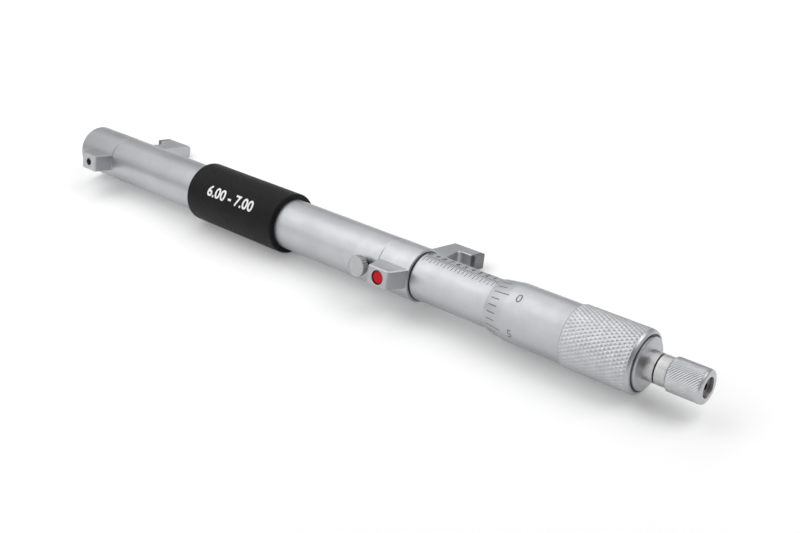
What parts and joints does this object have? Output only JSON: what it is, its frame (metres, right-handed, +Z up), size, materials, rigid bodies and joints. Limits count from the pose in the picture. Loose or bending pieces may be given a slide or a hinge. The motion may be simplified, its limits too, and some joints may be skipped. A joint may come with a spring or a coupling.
{
  "type": "inside micrometer",
  "caption": "Jaw type inside micrometer with a tubular frame, black grip, two outward hooks, graduated sleeve, knurled thimble and ratchet knob.",
  "frame": {"origin": "on the surface it lies on, below the middle of the whole object's box", "axes": "+X along the instrument, from the left jaw to the ratchet; +Y to the side of the hooks; +Z up"},
  "size_m": [0.2468, 0.0422, 0.0195],
  "materials": {
    "satin_steel": "satin chrome plate",
    "bare_steel": "ground",
    "black_grip": "matte heat-insulating plastic",
    "red_lacquer": "glossy lacquer",
    "hard_metal": "lapped hard metal",
    "dark_ring": "matte",
    "blackened_steel": "blackened",
    "brass": "turned"
  },
  "bodies": {
    "frame": {"frame_tube": "satin_steel", "grip_band": "black_grip", "front_bush": "brass", "guide_barrel": "brass", "guide_key": "bare_steel", "right_jaw": "satin_steel", "right_contact_tip": "hard_metal", "right_jaw_screw": "bare_steel", "red_seal": "red_lacquer", "sleeve_ring": "dark_ring", "graduated_sleeve": "satin_steel", "spindle_nut": "bare_steel", "adjusting_nut": "bare_steel", "lock_pad": "brass"},
    "slider": {"left_jaw": "satin_steel", "left_contact_tip": "hard_metal", "left_jaw_screw": "blackened_steel", "slide_rod": "bare_steel", "thrust_ball": "bare_steel", "swivel_retainer": "bare_steel"},
    "thimble": {"thrust_collar": "bare_steel", "spindle": "bare_steel", "thimble": "satin_steel", "cap_ring": "dark_ring", "thimble_cap": "satin_steel", "ratchet_base": "satin_steel", "neck_ring": "dark_ring", "ratchet_screw": "blackened_steel"},
    "ratchet": {"ratchet_knob": "satin_steel", "ratchet_pawl": "bare_steel", "ratchet_spring": "bare_steel"},
    "lock_screw": {"lock_screw": "satin_steel"}
  },
  "joints": [
    {"name": "jaw_travel", "type": "slide", "parent": "frame", "child": "slider", "axis": [-1, 0, 0], "range_m": [0, 0.0254]},
    {"name": "thimble_turn", "type": "hinge", "parent": "slider", "child": "thimble", "pos_m": [0.08195, -0.00665, 0.00975], "axis": [-1, 0, 0], "range_deg": [0, 14400]},
    {"name": "ratchet_turn", "type": "hinge", "parent": "thimble", "child": "ratchet", "pos_m": [0.11695, -0.00665, 0.00975], "axis": [-1, 0, 0], "continuous": true},
    {"name": "lock_turn", "type": "hinge", "parent": "frame", "child": "lock_screw", "pos_m": [0.01735, -0.01627, 0.01249], "axis": [0, 0.9618, -0.2739], "range_deg": [0, 270]}
  ],
  "couplings": [
    {"joint": "thimble_turn", "follows": "jaw_travel", "rad_per_m": 9894.8}
  ]
}
